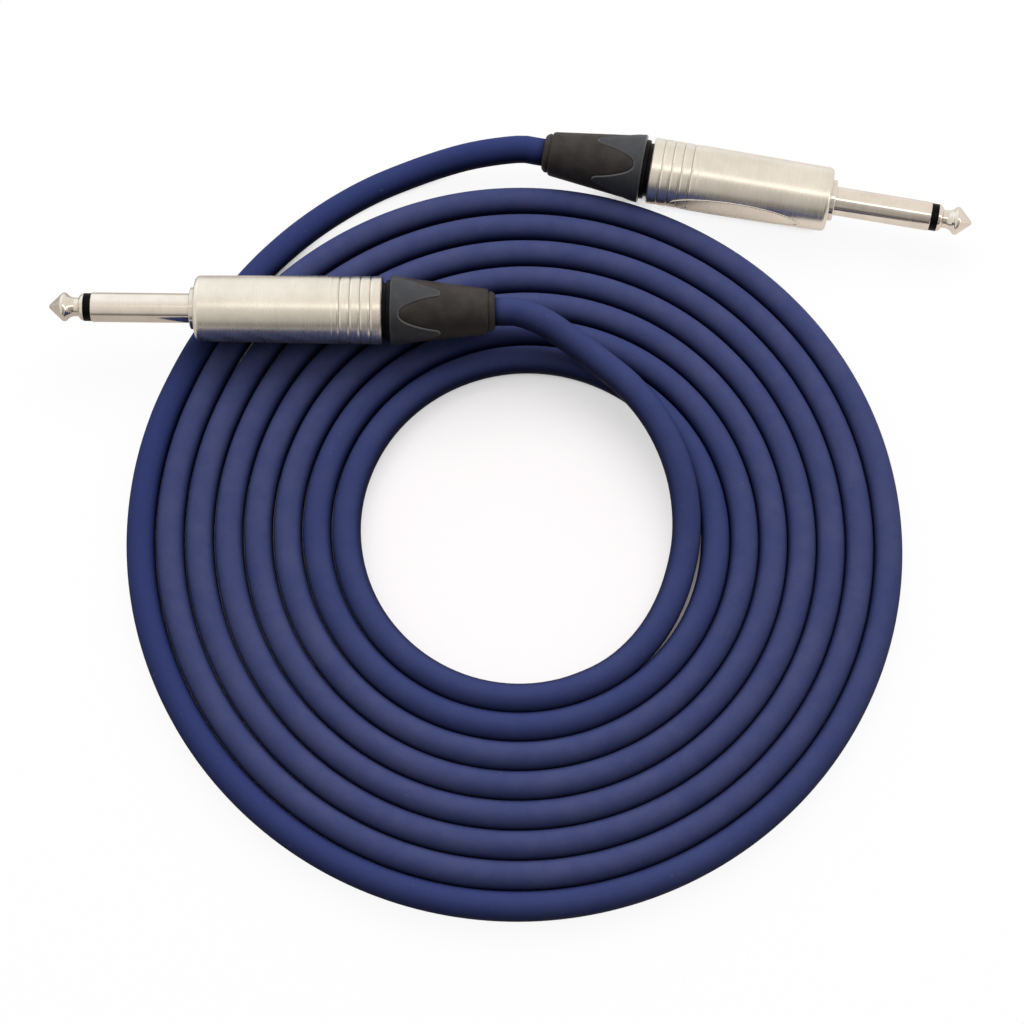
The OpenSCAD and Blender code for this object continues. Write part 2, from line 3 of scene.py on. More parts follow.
import bpy
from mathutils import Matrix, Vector


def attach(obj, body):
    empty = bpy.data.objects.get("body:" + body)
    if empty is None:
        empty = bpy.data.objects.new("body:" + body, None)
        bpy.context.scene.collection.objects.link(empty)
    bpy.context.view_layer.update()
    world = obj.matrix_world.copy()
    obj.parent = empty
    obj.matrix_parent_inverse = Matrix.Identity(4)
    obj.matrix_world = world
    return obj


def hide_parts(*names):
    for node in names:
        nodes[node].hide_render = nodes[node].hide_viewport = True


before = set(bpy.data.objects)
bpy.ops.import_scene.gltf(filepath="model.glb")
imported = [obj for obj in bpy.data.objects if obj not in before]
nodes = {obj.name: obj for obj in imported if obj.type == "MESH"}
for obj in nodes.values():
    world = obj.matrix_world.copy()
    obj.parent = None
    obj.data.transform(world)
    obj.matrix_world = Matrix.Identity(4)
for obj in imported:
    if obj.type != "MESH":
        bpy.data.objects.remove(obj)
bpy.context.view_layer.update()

# ----------------------------------------------------------------------------
# The stand: a white table, seen by a camera that leans 20 degrees off straight
# down. It carries nothing but the coil, whose shadow falls on it.
scene = bpy.context.scene
scene.view_settings.view_transform = "Standard"

bpy.ops.object.camera_add(
    location=(-0.00088, -0.23178, 0.46985), rotation=(math.radians(20), 0, 0)
)
camera = bpy.context.object
camera.data.lens = 82
camera.data.sensor_width = 36
camera.data.clip_start = 0.01
scene.camera = camera


class Shade:
    """One socket of a shader tree; sums written with it add their Math nodes."""

    def __init__(self, tree, socket=None):
        self.tree = tree
        self.socket = socket

    def node(self, kind, settings=None, sockets=None, out=0):
        made = self.tree.nodes.new(kind)
        for name, value in (settings or {}).items():
            if name == "stops":
                ramp = made.color_ramp.elements
                for stop, (place, level) in zip(ramp, (value[0], value[-1])):
                    stop.position = place
                    stop.color = level
                for place, level in value[1:-1]:
                    ramp.new(place).color = level
            else:
                setattr(made, name, value)
        for name, value in (sockets or {}).items():
            if isinstance(value, Shade):
                self.tree.links.new(value.socket, made.inputs[name])
            else:
                made.inputs[name].default_value = value
        return Shade(self.tree, made.outputs[out] if made.outputs else None)

    def output(self, name):
        """Another output of the node that this socket belongs to."""
        return Shade(self.tree, self.socket.node.outputs[name])

    def maths(self, operation, *values):
        return self.node("ShaderNodeMath", {"operation": operation}, dict(enumerate(values)))

    def vector_maths(self, operation, *values, out=0):
        settings = {"operation": operation}
        return self.node("ShaderNodeVectorMath", settings, dict(enumerate(values)), out)

    def __add__(self, other):
        return self.maths("ADD", self, other)

    def __sub__(self, other):
        return self.maths("SUBTRACT", self, other)

    def __rsub__(self, other):
        return self.maths("SUBTRACT", other, self)

    def __mul__(self, other):
        return self.maths("MULTIPLY", self, other)

    def __truediv__(self, other):
        return self.maths("DIVIDE", self, other)

    __radd__ = __add__
    __rmul__ = __mul__

    def mix(self, low, high):
        """A colour between two, where this socket is the share of the second."""
        sockets = {0: self, 6: low, 7: high}
        return self.node("ShaderNodeMix", {"data_type": "RGBA"}, sockets, 2)

    def ramp(self, *stops):
        """A colour or level that changes with this socket."""
        return self.node("ShaderNodeValToRGB", {"stops": stops}, {0: self})

    def between(self, low, high):
        """0 below low, 1 above high and smooth between."""
        settings = {"interpolation_type": "SMOOTHSTEP"}
        return self.node("ShaderNodeMapRange", settings, {0: self, 1: low, 2: high})


def open_share(start, reach, samples):
    """How open a spot is: 1 in the open, 0 where all within reach is covered."""
    settings = {"samples": samples, "only_local": False}
    return start.node("ShaderNodeAmbientOcclusion", settings, {"Distance": reach}, 1)


table_size = 6
middle = (0.001, -0.066, 0)
hole_r, rim_r = 0.03, 0.085
shadow_reach = 0.004

bpy.ops.object.select_all(action="DESELECT")
bpy.ops.mesh.primitive_plane_add(size=table_size, location=(0, 0, 0))
table = bpy.context.object
table.name = "table"
table_white = bpy.data.materials.new("table_white")
table_white.use_nodes = True
table_white.node_tree.nodes.clear()
top = Shade(table_white.node_tree)
rays = top.node("ShaderNodeLightPath")
seen = rays.output("Is Camera Ray")
gloss = rays.output("Is Glossy Ray")
through = rays.output("Is Transmission Ray")
bounced = rays.output("Is Diffuse Ray")
# painted shade: to bounced light the floor is nearly black, which darkens the undersides of the
# cable and plugs
floor_colour_dark_to_bounce = bounced.mix((0.92, 0.86, 0.875, 1), (0.08, 0.075, 0.08, 1))
lit = top.node("ShaderNodeBsdfDiffuse", sockets={"Color": floor_colour_dark_to_bounce})
spot = top.node("ShaderNodeTexCoord", out=3)
from_middle = top.vector_maths("SUBTRACT", spot, middle)
away = top.vector_maths("LENGTH", from_middle, out=1)
# painted light: the glow that covers the floor's real shadow is weaker in the coil's hole and
# stronger outside it, so the shadow shows mostly in the hole
whitening_share = away.between(hole_r, rim_r) * 0.37 + 0.55
share = (seen + gloss + through) * whitening_share
# painted shadow: the floor's glow fades where the coil and plugs cover it within a few
# millimetres, in the gaps between turns and at contact
glow_with_painted_shade = open_share(top, shadow_reach, 8).between(0.08, 0.38)
spot_x = top.node("ShaderNodeSeparateXYZ", sockets={0: spot})
behind = spot_x.output(1).between(0.02, 0.08)
# painted shade in reflections: to glossy rays the floor at the front is a dark warm tone, darker
# on the left than on the right, and white only at the back
reflected_floor_shade = spot_x.between(-0.03, 0.03).mix((0.56, 0.49, 0.45, 1), (0.89, 0.79, 0.73, 1))
reflected_floor_with_painted_shade = behind.mix(reflected_floor_shade, (1, 1, 0.98, 1))
glow_colour = gloss.mix((1, 1, 1, 1), reflected_floor_with_painted_shade)
glow = top.node("ShaderNodeEmission", sockets={"Color": glow_colour, "Strength": glow_with_painted_shade})
both = top.node("ShaderNodeMixShader", sockets={0: share, 1: lit, 2: glow})
top.node("ShaderNodeOutputMaterial", sockets={"Surface": both})
table.data.materials.append(table_white)

# ----------------------------------------------------------------------------
# The room: pale walls, lit softly from the back, dark towards the front edge of
# the table. A strip light hangs over the right plug, a soft box at the back.
world = bpy.data.worlds.new("room")
scene.world = world
world.use_nodes = True
world.node_tree.nodes.clear()
room = Shade(world.node_tree)


def grey(level):
    return (level, level, level, 1)


def warm(level):
    return (level, 0.92 * level, 0.86 * level, 1)


sideways = room.node(
    "ShaderNodeSeparateXYZ", sockets={0: room.node("ShaderNodeTexCoord")}
)
backward, upward = sideways.output(1), sideways.output(2)
turned_back = (backward + 1) / 2
left_wall = turned_back.ramp(
    (0, warm(0.05)), (0.05, warm(0.7)), (0.2, warm(0.9)), (0.5, warm(1)), (0.8, grey(1.2))
)
right_wall = turned_back.ramp(
    (0, warm(0.05)), (0.05, warm(0.3)), (0.34, warm(0.7)), (0.355, warm(2.4)),
    (0.41, warm(2.4)), (0.45, warm(1)), (1, warm(1)),
)
walls = sideways.between(-0.15, -0.08).mix(left_wall, right_wall)
soft = turned_back.ramp(
    (0, grey(0.05)), (0.3, grey(0.2)), (0.5, grey(0.95)), (0.75, grey(1.3)), (1, grey(1.2))
)
above = upward.between(-0.1, 0.5) * 0.7 + 0.3
soft = room.node("ShaderNodeVectorMath", {"operation": "SCALE"}, {0: soft, 3: above})
rays = room.node("ShaderNodeLightPath")
level = rays.output("Is Diffuse Ray").mix(walls, soft)
light = room.node("ShaderNodeBackground", sockets={"Color": level, "Strength": 1})
white = room.node("ShaderNodeBackground", sockets={"Color": grey(1), "Strength": 1})
sky = room.node(
    "ShaderNodeMixShader", sockets={0: rays.output("Is Camera Ray"), 1: light, 2: white}
)
room.node("ShaderNodeOutputWorld", sockets={"Surface": sky})

bpy.ops.object.light_add(type="AREA", location=(0.1, 0.55, 0.7))
soft_box = bpy.context.object
soft_box.name = "soft_box"
soft_box.data.shape = "RECTANGLE"
soft_box.data.size = 1.2
soft_box.data.size_y = 0.5
soft_box.data.energy = 6
soft_box.visible_glossy = False
soft_box.rotation_euler = (math.radians(-45), 0, 0)

# ----------------------------------------------------------------------------
# The tip contact: tip, neck and the rod behind them are turned in one from
# brass bar and nickel plated bright, so lathe marks run round them.
sides = ("left", "right")
shoulders = {
    "left": (Vector((-0.0699, -0.0191, 0.0136)), math.radians(179.3)),
    "right": (Vector((0.0706, 0.0099, 0.0076)), math.radians(-10.6)),
}


def on_plug(side, station, angle=0.0, radius=0.0):
    """A point round a plug's axis, in millimetres.

    Stations count from the sleeve's shoulder, up to the tip and down to the
    cable; the angle counts from straight up.
    """
    shoulder, turn = shoulders[side]
    y, z = radius * math.sin(angle), radius * math.cos(angle)
    ahead = Vector((math.cos(turn), math.sin(turn), 0))
    across = Vector((-math.sin(turn) * y, math.cos(turn) * y, z))
    return shoulder + (station * ahead + across) / 1000


def material_of(name, constants):
    """A material whose constants sit on its own shader; returns it and both ends."""
    made = bpy.data.materials.new(name)
    made.use_nodes = True
    shader = made.node_tree.nodes["Principled BSDF"]
    for socket, value in constants.items():
        shader.inputs[socket].default_value = value
    return made, Shade(made.node_tree), shader


def join(shader, sockets):
    for name, value in sockets.items():
        value.tree.links.new(value.socket, shader.inputs[name])


def noise(start, vector, scale, detail=2, rough=0.5):
    sockets = {"Vector": vector, "Scale": scale, "Detail": detail, "Roughness": rough}
    return start.node("ShaderNodeTexNoise", sockets=sockets)


def bump(start, height, strength, distance, edge_r=0):
    """Relief from a height, with the edges under it rounded by edge_r."""
    sockets = {"Height": height, "Strength": strength, "Distance": distance}
    if edge_r:
        sockets["Normal"] = start.node("ShaderNodeBevel", {"samples": 6}, {"Radius": edge_r})
    return start.node("ShaderNodeBump", sockets=sockets)


def turned(start, place):
    """A place whose marks run round the axis of whichever plug it is on."""
    along = []
    for side in sides:
        turn = shoulders[side][1]
        aim = (math.cos(turn), math.sin(turn), 0)
        along.append(start.vector_maths("DOT_PRODUCT", place, aim, out=1))
    x_place = start.node("ShaderNodeSeparateXYZ", sockets={0: place})
    on_right = x_place.between(-0.001, 0.001)
    x = along[0] + (along[1] - along[0]) * on_right
    y, z = (x_place.output(k) * 0.03 for k in (1, 2))
    return start.node("ShaderNodeCombineXYZ", sockets={0: x, 1: y, 2: z})


def metal(name, dark, light, rough, edge_r, grain_size, depth, painted_shade_open_at):
    """Plated metal: tarnish in clouds, painted shade where it lies close to other things, and
    fine lathe marks.
    """
    made, start, shader = material_of(name, {"Metallic": 1.0})
    place = start.node("ShaderNodeTexCoord", out=3)
    marks = noise(start, turned(start, place), 3600, 2, 0.6)
    cloud = noise(start, place, 170, 3, 0.55) * 0.72 + marks * 0.28
    grain = noise(start, place, grain_size, 2, 0.55)
    plated = cloud.between(0.32, 0.68).mix(dark, light)
    # painted shade: the base colour goes dark brown where other things lie within 12 mm, as under
    # the plugs over the coil
    clear_of_painted_shade = open_share(start, 0.012, 6).between(0.1, painted_shade_open_at)
    join(shader, {
        "Base Color": clear_of_painted_shade.mix((0.16, 0.12, 0.09, 1), plated),
        "Roughness": marks.between(0.35, 0.7) * 0.05 + rough,
        "Normal": bump(start, grain, 0.35, depth, edge_r),
    })
    return made


def dress(piece, material):
    """Gives this piece of both plugs its material."""
    for side in sides:
        held = nodes[side + "_" + piece].data.materials
        held.clear()
        held.append(material)


nickel = metal(
    "contact_nickel", dark=(0.70, 0.67, 0.60, 1), light=(0.80, 0.77, 0.70, 1), rough=0.11,
    edge_r=0.0001, grain_size=1500, depth=0.000005, painted_shade_open_at=0.65,
)
dress("tip_contact", nickel)

# ----------------------------------------------------------------------------
# The tip ring: a black moulded washer on the rod, between tip and sleeve, which
# keeps the two apart and fills the finger's outline.


def moulded(name, dark, light, rough, scale, strength=0.2, metallic=0.0, level=0.5):
    """Moulded or worked stuff: two close tones in clouds, with a grain."""
    made, start, shader = material_of(
        name, {"Metallic": metallic, "Specular IOR Level": level, "Coat Roughness": 0.25}
    )
    place = start.node("ShaderNodeTexCoord", out=3)
    cloud = noise(start, place, scale, 3, 0.55)
    grain = noise(start, place, scale * 5, 2, 0.6)
    join(shader, {
        "Base Color": cloud.between(0.3, 0.7).mix(dark, light),
        "Roughness": cloud * 0.12 + rough,
        "Normal": bump(start, grain, strength, 0.00004, 0.00015),
    })
    return made


ring_black = moulded(
    "ring_black", dark=grey(0.001), light=grey(0.003), rough=0.3, scale=300, strength=0.1,
    level=0.07,
)
dress("tip_ring", ring_black)

# ----------------------------------------------------------------------------
# The rod's sleeve: a drawn tube of ivory nylon, slid over the rod so that it
# doesn't touch the sleeve contact round it.
ivory = moulded(
    "insulator_ivory", dark=(0.62, 0.56, 0.42, 1), light=(0.70, 0.64, 0.50, 1), rough=0.4,
    scale=300,
)
dress("rod_sleeve", ivory)

# ----------------------------------------------------------------------------
# The sleeve contact: the finger's long tube with its collar and flange, turned
# from brass and nickel plated with the tip. The flange seats in the shell.
dress("sleeve_contact", nickel)

# ----------------------------------------------------------------------------
# The insert: a grey moulded body behind the sleeve's flange. Its two rails hold
# the tags and keep the clamp from turning.
insert_grey = moulded(
    "insert_grey", dark=(0.16, 0.16, 0.165, 1), light=(0.2, 0.2, 0.205, 1), rough=0.45, scale=250
)
dress("insert_body", insert_grey)

# ----------------------------------------------------------------------------
# The solder tags: stamped brass strip. One is riveted to the rod's end, the
# other to the sleeve's flange, through a slot in the insert.
brass = moulded(
    "tag_brass", dark=(0.62, 0.52, 0.36, 1), light=(0.72, 0.62, 0.44, 1), rough=0.28, scale=400,
    strength=0.1, metallic=1.0,
)
dress("tip_tag", brass)
dress("ground_tag", brass)

# ----------------------------------------------------------------------------
# The shell: die cast and turned, nickel plated satin, with grooves at the rear.
# A wide round cutter scoops a flat in it, whose burnished edge catches the light.
shell_front, shell_rear, front_r, rear_r = -1.1, -41.3, 7.05, 7.4
flat_len, flat_deep, flat_at = 28.7, 0.68, 6.1
burr_r, burr_sunk, burr_facets = 0.19, 0.05, 10
flat_steps = 40
flat_rolls = {"left": 160, "right": 90}

satin = metal(
    "shell_nickel", dark=(0.74, 0.72, 0.645, 1), light=(0.83, 0.81, 0.735, 1), rough=0.27,
    edge_r=0.00012, grain_size=1300, depth=0.000008, painted_shade_open_at=0.88,
)
dress("shell", satin)


def flat_edge(side, roll):
    """The closed line round the flat, where its round cutter meets the tapered shell."""
    half = flat_len / 2
    centre = shell_front - flat_at - half
    slope = (rear_r - front_r) / (shell_front - shell_rear)
    cutter_r = (half * half + flat_deep * flat_deep) / (2 * flat_deep)

    def point(x, flank):
        r = rear_r - slope * (x - shell_rear)
        floor = rear_r - slope * (centre - shell_rear) - flat_deep
        floor += cutter_r - math.sqrt(cutter_r ** 2 - (x - centre) ** 2) - slope * (x - centre)
        angle = math.radians(roll) + flank * math.acos(min(1, floor / r))
        return on_plug(side, x, -angle, r - burr_sunk)

    stations = [
        centre - half * math.cos(math.pi * k / flat_steps) for k in range(flat_steps + 1)
    ]
    there = [point(x, 1) for x in stations]
    back = [point(x, -1) for x in reversed(stations[:-1])]
    return there + back


def tube_along(name, line, radius, facets=32):
    """A closed round tube; its attribute 'run' holds the point on a straight length."""
    places, faces, run = [], [], []
    up = Vector((0, 0, 1))
    far = 0
    for k, point in enumerate(line):
        ahead = (line[min(k + 1, len(line) - 1)] - line[max(k - 1, 0)]).normalized()
        up = (up - ahead * up.dot(ahead)).normalized()
        beside = ahead.cross(up)
        far += (point - line[k - 1]).length if k else 0
        for j in range(facets):
            a = 2 * math.pi * j / facets
            places.append(point + radius * (math.cos(a) * beside + math.sin(a) * up))
            run.append((far, radius * math.cos(a), radius * math.sin(a)))
    for k in range(len(line) - 1):
        for j in range(facets):
            a, b = k * facets + j, k * facets + (j + 1) % facets
            faces.append((a, b, b + facets, a + facets))
    last = (len(line) - 1) * facets
    faces.append(tuple(range(facets - 1, -1, -1)))
    faces.append(tuple(range(last, last + facets)))
    mesh = bpy.data.meshes.new(name)
    mesh.from_pydata(places, [], faces)
    held = mesh.attributes.new("run", "FLOAT_VECTOR", "POINT")
    held.data.foreach_set("vector", [c for p in run for c in p])
    mesh.polygons.foreach_set("use_smooth", [len(f) == 4 for f in faces])
    mesh.update()
    made = bpy.data.objects.new(name, mesh)
    scene.collection.objects.link(made)
    return made


for side in sides:
    edge = flat_edge(side, flat_rolls[side])
    burr = tube_along(side + "_flat_edge", edge, burr_r / 1000, burr_facets)
    burr.data.materials.append(nickel)
    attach(burr, "root")

# ----------------------------------------------------------------------------
# The cable: a round 6 mm instrument lead in one length, wound by hand, from the
# left plug's lip into the innermost turn and out of the outermost to the right
# plug. A soft matt vinyl jacket, extruded over the screen.
cord_r = 0.00305
line_step = 0.002
coil_at = Vector((0.00135, -0.066, 0))
outer_r, turn_pitch, coil_oval = 0.0838, 0.00616, 1.015
turn_drift = Vector((0.00007, -0.00008, 0))
coil_out, coil_in, coil_step = 165, 2805, 3
lip_x, straight = -65.45, 4.5
left_route = [
    (4.3, 44.2, 12.8), (9.6, 41.2, 11.0), (16.6, 36.3, 9.3), (22.8, 30.8, 9.0),
    (27.6, 24.8, 8.5), (31.2, 18.2, 7.6), (33.6, 11.2, 6.4), (34.7, 4.2, 4.9),
    (34.6, -2.6, 3.6), (33.3, -9.2, 3.0), (31.2, -15.4, 3.0), (28.2, -21.2, 3.0),
    (24.4, -26.2, 3.0), (19.8, -30.4, 3.0),
]
right_route = [
    (-5.0, 88.5, 7.2), (-12.0, 87.8, 6.0), (-19.0, 86.5, 4.3), (-26.0, 84.3, 3.2),
    (-33.0, 81.1, 3.0), (-39.7, 77.1, 3.0), (-46.0, 72.5, 3.0), (-51.9, 67.3, 3.0),
    (-57.4, 61.5, 3.0), (-62.4, 55.1, 3.0), (-66.9, 48.3, 3.0), (-71.0, 41.1, 3.0),
    (-74.4, 33.6, 3.0),
]


def eased(value, low, high):
    t = min(1, max(0, (value - low) / (high - low)))
    return t * t * (3 - 2 * t)


def coil_point(angle):
    """The coil's centreline; the angle counts on through the turns.

    The outer turns lie a little wide at the back on the left, where the right
    plug's lead comes down beside them.
    """
    turns = angle / 360 - 4
    lap, way = divmod(angle - coil_out, 360)
    wide = 0.0008 * 0.6 ** lap * eased(way, 250, 300) * (1 - eased(way, 335, 354))
    radius = outer_r - turn_pitch * angle / 360 + wide
    a = math.radians(angle)
    flat = Vector((radius * math.cos(a), coil_oval * radius * math.sin(a), cord_r))
    return coil_at + flat + turns * turn_drift


def end_span(angle):
    """The angle that one diameter of the cable spans on the coil."""
    radius = outer_r - turn_pitch * angle / 360
    return math.degrees(2 * cord_r / radius)


def on_table(point):
    x, y, z = point
    return coil_at + Vector((x / 1000, y / 1000, max(z / 1000, cord_r)))


def smooth_line(points, step):
    """Even points on a smooth curve through the given ones."""
    fine = []
    for k in range(len(points) - 1):
        p1, p2 = points[k], points[k + 1]
        p0 = points[k - 1] if k else p1 * 2 - p2
        p3 = points[k + 2] if k + 2 < len(points) else p2 * 2 - p1
        t = [0]
        for a, b in ((p0, p1), (p1, p2), (p2, p3)):
            t.append(t[-1] + math.sqrt((b - a).length))
        for j in range(12):
            s = t[1] + (t[2] - t[1]) * j / 12
            a1 = p0 + (p1 - p0) * (s - t[0]) / (t[1] - t[0])
            a2 = p1 + (p2 - p1) * (s - t[1]) / (t[2] - t[1])
            a3 = p2 + (p3 - p2) * (s - t[2]) / (t[3] - t[2])
            b1 = a1 + (a2 - a1) * (s - t[0]) / (t[2] - t[0])
            b2 = a2 + (a3 - a2) * (s - t[1]) / (t[3] - t[1])
            fine.append(b1 + (b2 - b1) * (s - t[1]) / (t[2] - t[1]))
    fine.append(points[-1])
    far = [0]
    for a, b in zip(fine, fine[1:]):
        far.append(far[-1] + (b - a).length)
    count = round(far[-1] / step)
    even, k = [], 0
    for i in range(count):
        want = far[-1] * i / count
        while far[k + 1] < want:
            k += 1
        share = (want - far[k]) / (far[k + 1] - far[k])
        even.append(fine[k].lerp(fine[k + 1], share))
    return even + [fine[-1]], far[-1]


leaving = [on_plug("left", lip_x - straight * k / 3) for k in range(4)]
joining = [on_plug("right", lip_x - straight * k / 3) for k in range(3, -1, -1)]
through_points = (
    leaving
    + [on_table(p) for p in left_route]
    + [coil_point(coil_in + end_span(coil_in))]
    + [coil_point(a) for a in range(coil_in, coil_out - 1, -coil_step)]
    + [coil_point(coil_out - end_span(coil_out))]
    + [on_table(p) for p in reversed(right_route)]
    + joining
)
cable_line, cable_length = smooth_line(through_points, line_step)
cable = tube_along("cable", cable_line, cord_r)

# the left plug rests on the turns and presses their crests a little flat
pressed_at, pressed_wide, pressed_deep, pressed_top = (-0.034, -0.0195), 0.022, 0.009, 0.00593
for vertex in cable.data.vertices:
    beside, before = vertex.co.x - pressed_at[0], vertex.co.y - pressed_at[1]
    if abs(beside) < pressed_wide and abs(before) < pressed_deep:
        vertex.co.z = min(vertex.co.z, pressed_top)


def jacket_material(name, place):
    """Soft matt vinyl: violet-grey bloom in clouds over dark blue, with fine grain, and painted
    shade on the flanks and underside along the run.
    """
    made, start, shader = material_of(name, {"Specular IOR Level": 0.08})
    lighter_along_run = 1
    if place == "run":
        vector = start.node("ShaderNodeAttribute", {"attribute_name": "run"}, out=1)
        reach = start.node("ShaderNodeSeparateXYZ", sockets={0: vector})
        # darker for the first 0.35 m from the left plug, full by 0.75 m, and darker again over
        # the last 0.45 m before the right plug
        lighter_along_run = 1 - reach.between(cable_length - 0.45, cable_length - 0.15) * 0.9
        lighter_along_run = lighter_along_run * (reach.between(0.35, 0.75) * 0.45 + 0.55)
        # painted shade: 1 at the top of the tube's section, falling to 0 at mid height and below
        painted_lit_crest = reach.output(2).between(0, 0.8 * cord_r)
    else:
        vector = start.node("ShaderNodeTexCoord", out=3)
    patches = noise(start, vector, 260, 3, 0.6).between(0.38, 0.64)
    wide = noise(start, vector, 55, 2, 0.5).between(0.35, 0.65)
    specks = noise(start, vector, 1100, 1, 0.5)
    deep = (0.022, 0.033, 0.122, 1)
    bloom = (0.054, 0.064, 0.152, 1)
    colour = ((patches * 0.22 + wide * 0.16 + 0.5) * lighter_along_run).mix(deep, bloom)
    colour = specks.between(0.74, 0.80).mix(colour, (0.06, 0.07, 0.15, 1))
    # painted shade: the jacket goes near black below its crest, on the flanks and underside
    if place == "run":
        colour = painted_lit_crest.mix((0.003, 0.005, 0.030, 1), colour)
    grain = noise(start, vector, 900, 2, 0.6) * 0.4 + noise(start, vector, 330, 2, 0.5)
    join(shader, {
        "Base Color": colour,
        "Roughness": patches * 0.08 + 0.6,
        "Normal": bump(start, grain, 0.2, 0.00008),
    })
    return made


cable.data.materials.append(jacket_material("jacket_blue", "run"))
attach(cable, "root")
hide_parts("cable_coil", "left_lead", "right_lead")
tuple(on_plug("left", lip_x))

# ----------------------------------------------------------------------------
# The cable's ends: inside each plug the same jacket runs up to the clamp, and
# is stripped from there, so that the core and the screen's tail come free.
dress("cable_end", jacket_material("jacket_inside", "place"))

# ----------------------------------------------------------------------------
# The core and the screen: a copper strand in white polythene goes to the tip's
# tag, and the screen, twisted to a bare copper tail, to the ground tag.
core_white = moulded(
    "core_white", dark=(0.7, 0.69, 0.66, 1), light=(0.78, 0.77, 0.74, 1), rough=0.4, scale=400
)
copper = moulded(
    "wire_copper", dark=(0.7, 0.34, 0.2, 1), light=(0.82, 0.44, 0.28, 1), rough=0.3, scale=900,
    strength=0.3, metallic=1.0,
)
dress("core_insulation", core_white)
dress("core_wire", copper)
dress("screen_wire", copper)

# ----------------------------------------------------------------------------
# The clamp: a slotted collet, moulded in grey nylon. The bush's cone pushes its
# fingers on to the jacket when the gland is screwed home.
clamp_grey = moulded(
    "clamp_grey", dark=(0.22, 0.22, 0.225, 1), light=(0.27, 0.27, 0.275, 1), rough=0.45, scale=250
)
dress("chuck", clamp_grey)

# ----------------------------------------------------------------------------
# The bush: black moulded plastic that screws into the shell up to its shoulder
# ring. Its round-topped thread shows when the gland is unscrewed.
thread_front, thread_rear, thread_lead = -35.0, -40.8, 1.0
crest_r, ridge_r, ridge_facets = 6.03, 0.26, 10
steps_a_turn = 60

bush_black = moulded(
    "bush_black", dark=grey(0.003), light=grey(0.006), rough=0.4, scale=300, level=0.1
)
dress("threaded_bush", bush_black)
for side in sides:
    ridge = [
        on_plug(
            side,
            thread_front - thread_lead * k / steps_a_turn,
            2 * math.pi * k / steps_a_turn,
            crest_r - ridge_r,
        )
        for k in range(int((thread_front - thread_rear) / thread_lead * steps_a_turn) + 1)
    ]
    thread = tube_along(side + "_thread", ridge, ridge_r / 1000, ridge_facets)
    thread.data.materials.append(bush_black)
    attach(thread, side + "_gland")

# ----------------------------------------------------------------------------
# The grip cover: hard slate plastic, moulded on the bush, with four pointed
# lobes. Its rims are rounded, stand proud of the rubber and are worn shiny.
grip_x, valley_x, lobe_x, boot_x = -43.05, -45.05, -53.95, -63.95
cover_front_r, cone_fall, tube_r = 7.6, 2.55, 4.95
tip_from, tip_share = 0.80, 0.79
edge_points, edge_smoothing = 480, 4
cover_rolls = {"left": -31, "right": 24}

cover_slate = moulded(
    "cover_slate", dark=(0.036, 0.038, 0.043, 1), light=(0.049, 0.051, 0.056, 1), rough=0.46,
    scale=300, level=0.22,
)
worn_rims = Shade(cover_slate.node_tree).node(
    "ShaderNodeAttribute", {"attribute_name": "polish"}, out=2
)
join(cover_slate.node_tree.nodes["Principled BSDF"], {"Coat Weight": worn_rims})
dress("grip_cover", cover_slate)


def grip_r(x):
    """Radius of the cone that cover and boot share."""
    return cover_front_r - (grip_x - x) / (grip_x - boot_x) * cone_fall


def wave_line(roll):
    """The wavy edge on the cone, as even points [x, angle], with its corners eased."""
    half = grip_r(lobe_x) * math.sin(math.radians(45))
    flank = [(tip_from * i / 30, tip_share * (i / 30) ** 2.3) for i in range(31)]
    for i in range(1, 13):
        a = math.radians(90 * i / 12)
        round_u = 1 - (1 - tip_from) * math.cos(a)
        flank.append((round_u, tip_share + (1 - tip_share) * math.sin(a)))
    quarter = []
    for u, share in flank:
        x = valley_x - (valley_x - lobe_x) * share
        quarter.append((x, math.asin(min(1, u * half / grip_r(x)))))
    quarter[-1] = (lobe_x, math.radians(45))
    quarter = [(x, -a) for x, a in reversed(quarter[1:])] + quarter
    rough = []
    for k in range(4):
        valley = math.radians(90 * k - roll)
        rough += [(x, valley + a) for x, a in quarter[:-1]]
    rough.append((rough[0][0], rough[0][1] + 2 * math.pi))
    far = [0]
    for (x1, a1), (x2, a2) in zip(rough, rough[1:]):
        far.append(far[-1] + math.hypot(x2 - x1, (a2 - a1) * grip_r((x1 + x2) / 2)))
    even, k = [], 0
    for i in range(edge_points):
        want = far[-1] * i / edge_points
        while far[k + 1] < want:
            k += 1
        t = (want - far[k]) / (far[k + 1] - far[k])
        even.append([r1 + (r2 - r1) * t for r1, r2 in zip(rough[k], rough[k + 1])])
    for _ in range(edge_smoothing):
        softer = []
        for i, (x, a) in enumerate(even):
            before, after = even[i - 1], even[(i + 1) % edge_points]
            a0 = before[1] - (2 * math.pi if i == 0 else 0)
            a1 = after[1] + (2 * math.pi if i == edge_points - 1 else 0)
            softer.append([(before[0] + 2 * x + after[0]) / 4, (a0 + 2 * a + a1) / 4])
        even = softer
    return even


def moved_in(line, step):
    """The edge moved square to itself over the cone, towards the plug's tip."""
    count, moved = len(line), []
    for i, (x, a) in enumerate(line):
        x0, a0 = line[i - 1]
        x1, a1 = line[(i + 1) % count]
        a0 -= 2 * math.pi if i == 0 else 0
        a1 += 2 * math.pi if i == count - 1 else 0
        r = grip_r(x)
        dx, da = x1 - x0, (a1 - a0) * r
        size = math.hypot(dx, da)
        moved.append([x + step * da / size, a - step * dx / size / r])
    return moved


def ring_at(line, x=None, r=None, lower=0.0):
    """A ring over the edge's points, at a station and a radius of its own if given."""
    return [
        (px if x is None else x, a, (grip_r(px if x is None else x) - lower) if r is None else r)
        for px, a in line
    ]


